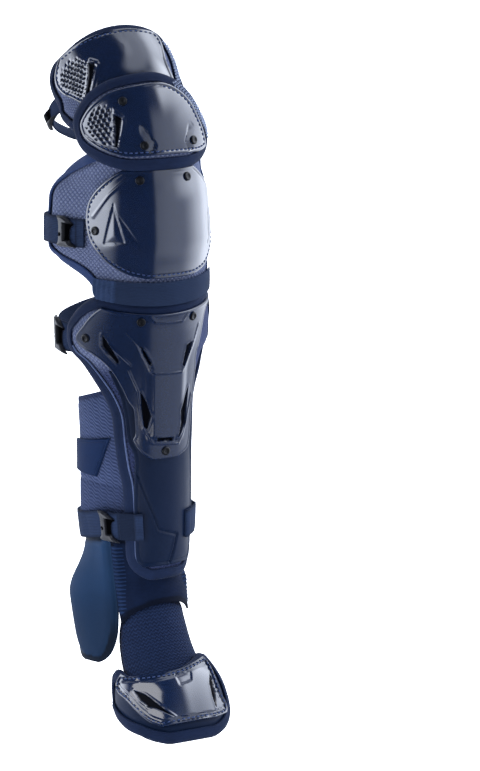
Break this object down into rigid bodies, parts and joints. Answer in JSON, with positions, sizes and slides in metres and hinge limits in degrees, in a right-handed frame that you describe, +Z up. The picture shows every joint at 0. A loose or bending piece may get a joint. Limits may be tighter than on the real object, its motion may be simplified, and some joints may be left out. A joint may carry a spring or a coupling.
{
  "type": "baseball catcher leg guard",
  "caption": "Catcher's leg guard: glossy moulded plates on padded fabric backings over thigh, knee, shin and toes, with side flaps, an ankle cuff, a tongue and buckled straps.",
  "frame": {"origin": "on the leg's axis at the height of the knee cap's middle", "axes": "+Z up the leg, -Y the way the wearer faces, +X to the right seen from the front"},
  "size_m": [0.1695, 0.2163, 0.7101],
  "materials": {
    "shell": "glossy navy moulded plastic",
    "wing_fabric": "slate blue mesh fabric over foam",
    "edge_tape": "navy woven edge tape",
    "webbing": "slate elastic webbing",
    "band": "slate elastic band",
    "panel": "navy moulded foam with a satin skin",
    "smooth_skin": "smooth slate synthetic leather",
    "cuff_fabric": "navy quilted fabric",
    "buckle": "black moulded plastic",
    "rivet": "black rivet head"
  },
  "bodies": {
    "root": {"thigh_pad": "wing_fabric", "thigh_binding": "edge_tape", "thigh_shell": "shell", "thigh_strap": "webbing", "thigh_buckle": "buckle", "upper_knee_pad": "wing_fabric", "upper_knee_binding": "edge_tape", "upper_knee_shell": "shell", "upper_knee_rivet_top": "rivet", "upper_knee_rivet_left": "rivet", "upper_knee_rivet_right": "rivet", "knee_pad": "wing_fabric", "knee_binding": "edge_tape", "knee_shell": "shell", "knee_rivet_left": "rivet", "knee_rivet_right": "rivet", "knee_rivet_side": "rivet", "knee_strap": "webbing", "knee_buckle": "buckle", "knee_band": "band", "shin_pad": "wing_fabric", "shin_binding": "edge_tape", "shin_panel": "panel", "shin_shell": "shell", "shin_rivet_side": "rivet", "shin_rivet_left": "rivet", "shin_rivet_right": "rivet", "shin_rivet_low": "rivet", "shin_strap": "webbing", "shin_buckle": "buckle", "calf_wing": "wing_fabric", "calf_patch": "panel", "calf_strap": "webbing", "calf_buckle": "buckle", "ankle_wing": "smooth_skin", "ankle_cuff": "cuff_fabric", "instep": "cuff_fabric", "toe_pad": "smooth_skin", "toe_binding": "edge_tape", "toe_shell": "shell", "toe_strap": "webbing"}
  },
  "joints": []
}
